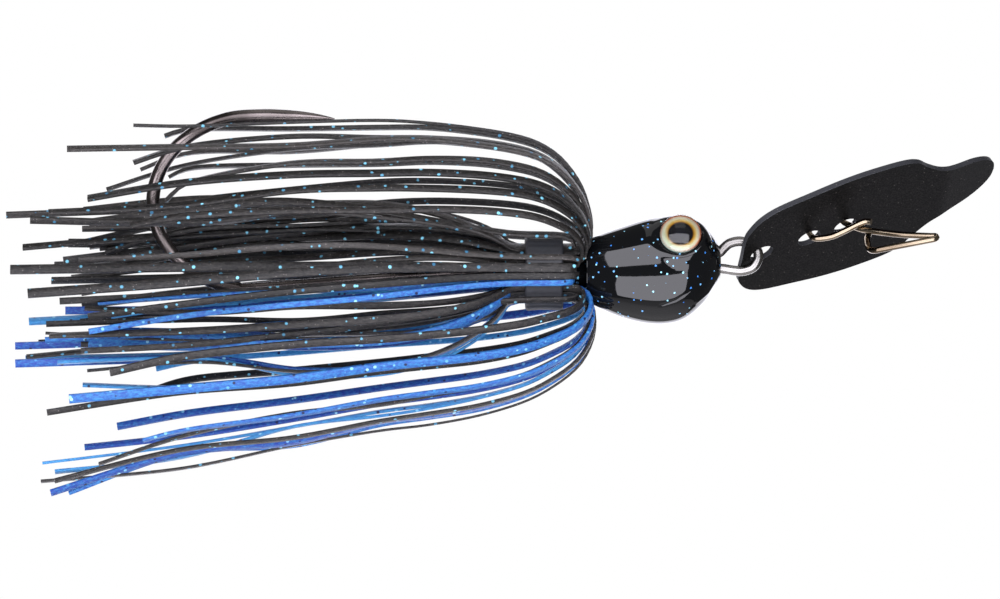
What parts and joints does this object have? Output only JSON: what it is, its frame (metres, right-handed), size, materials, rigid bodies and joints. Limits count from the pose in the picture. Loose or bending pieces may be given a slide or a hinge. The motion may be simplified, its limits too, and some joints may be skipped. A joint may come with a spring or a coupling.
{
  "type": "bladed jig",
  "caption": "Bladed bass fishing jig: black painted lead head on a jig hook, wobbling black nose blade with a line snap, and a flared black and blue silicone skirt.",
  "frame": {"origin": "centre of the wire eye on the nose of the head", "axes": "+X from the hook end towards the nose, +Z towards the hook's point, +Y to the lure's left; the mid-plane is Y = 0"},
  "size_m": [0.1121, 0.0373, 0.0419],
  "materials": {
    "head_paint": "gloss black enamel with pale blue flake, over lead",
    "stainless_wire": "bright drawn stainless wire",
    "black_nickel": "black nickel plated steel wire",
    "snap_wire": "black nickel spring wire, worn to bronze on its bends",
    "blade_coating": "satin black coated stainless sheet",
    "eye_foil": "pearl foil ring round a dark pupil",
    "clear_resin": "clear domed resin",
    "collar_rubber": "matt black rubber",
    "silicone_black": "black silicone with blue flake",
    "silicone_blue": "blue silicone with black flake"
  },
  "bodies": {
    "jig": {"lead_head": "head_paint", "nose_wire": "stainless_wire", "jig_hook": "black_nickel", "eye_foil_left": "eye_foil", "eye_foil_right": "eye_foil", "eye_dome_left": "clear_resin", "eye_dome_right": "clear_resin", "skirt_collar": "collar_rubber", "skirt_strand_01": "silicone_black", "skirt_strand_02": "silicone_black", "skirt_strand_03": "silicone_black", "skirt_strand_04": "silicone_black", "skirt_strand_05": "silicone_black", "skirt_strand_06": "silicone_black", "skirt_strand_07": "silicone_black", "skirt_strand_08": "silicone_black", "skirt_strand_09": "silicone_black", "skirt_strand_10": "silicone_black", "skirt_strand_11": "silicone_black", "skirt_strand_12": "silicone_black", "skirt_strand_13": "silicone_black", "skirt_strand_14": "silicone_black", "skirt_strand_15": "silicone_black", "skirt_strand_16": "silicone_black", "skirt_strand_17": "silicone_black", "skirt_strand_18": "silicone_black", "skirt_strand_19": "silicone_black", "skirt_strand_20": "silicone_blue", "skirt_strand_21": "silicone_black", "skirt_strand_22": "silicone_blue", "skirt_strand_23": "silicone_black", "skirt_strand_24": "silicone_blue", "skirt_strand_25": "silicone_black", "skirt_strand_26": "silicone_blue", "skirt_strand_27": "silicone_black", "skirt_strand_28": "silicone_blue", "skirt_strand_29": "silicone_black", "skirt_strand_30": "silicone_blue", "skirt_strand_31": "silicone_black", "skirt_strand_32": "silicone_blue", "skirt_strand_33": "silicone_black", "skirt_strand_34": "silicone_blue", "skirt_strand_35": "silicone_black", "skirt_strand_36": "silicone_black"},
    "blade": {"blade": "blade_coating"},
    "snap": {"line_snap": "snap_wire"}
  },
  "joints": [
    {"name": "blade_wobble", "type": "hinge", "parent": "jig", "child": "blade", "pos_m": [0.00217, 0, 0.0005], "axis": [0.9829, 0, -0.184], "range_deg": [0, 64]},
    {"name": "snap_swing", "type": "hinge", "parent": "blade", "child": "snap", "pos_m": [0.00185, 0.00036, 0.00114], "axis": [0.9101, 0.288, 0.298], "range_deg": [-5, 65]}
  ]
}
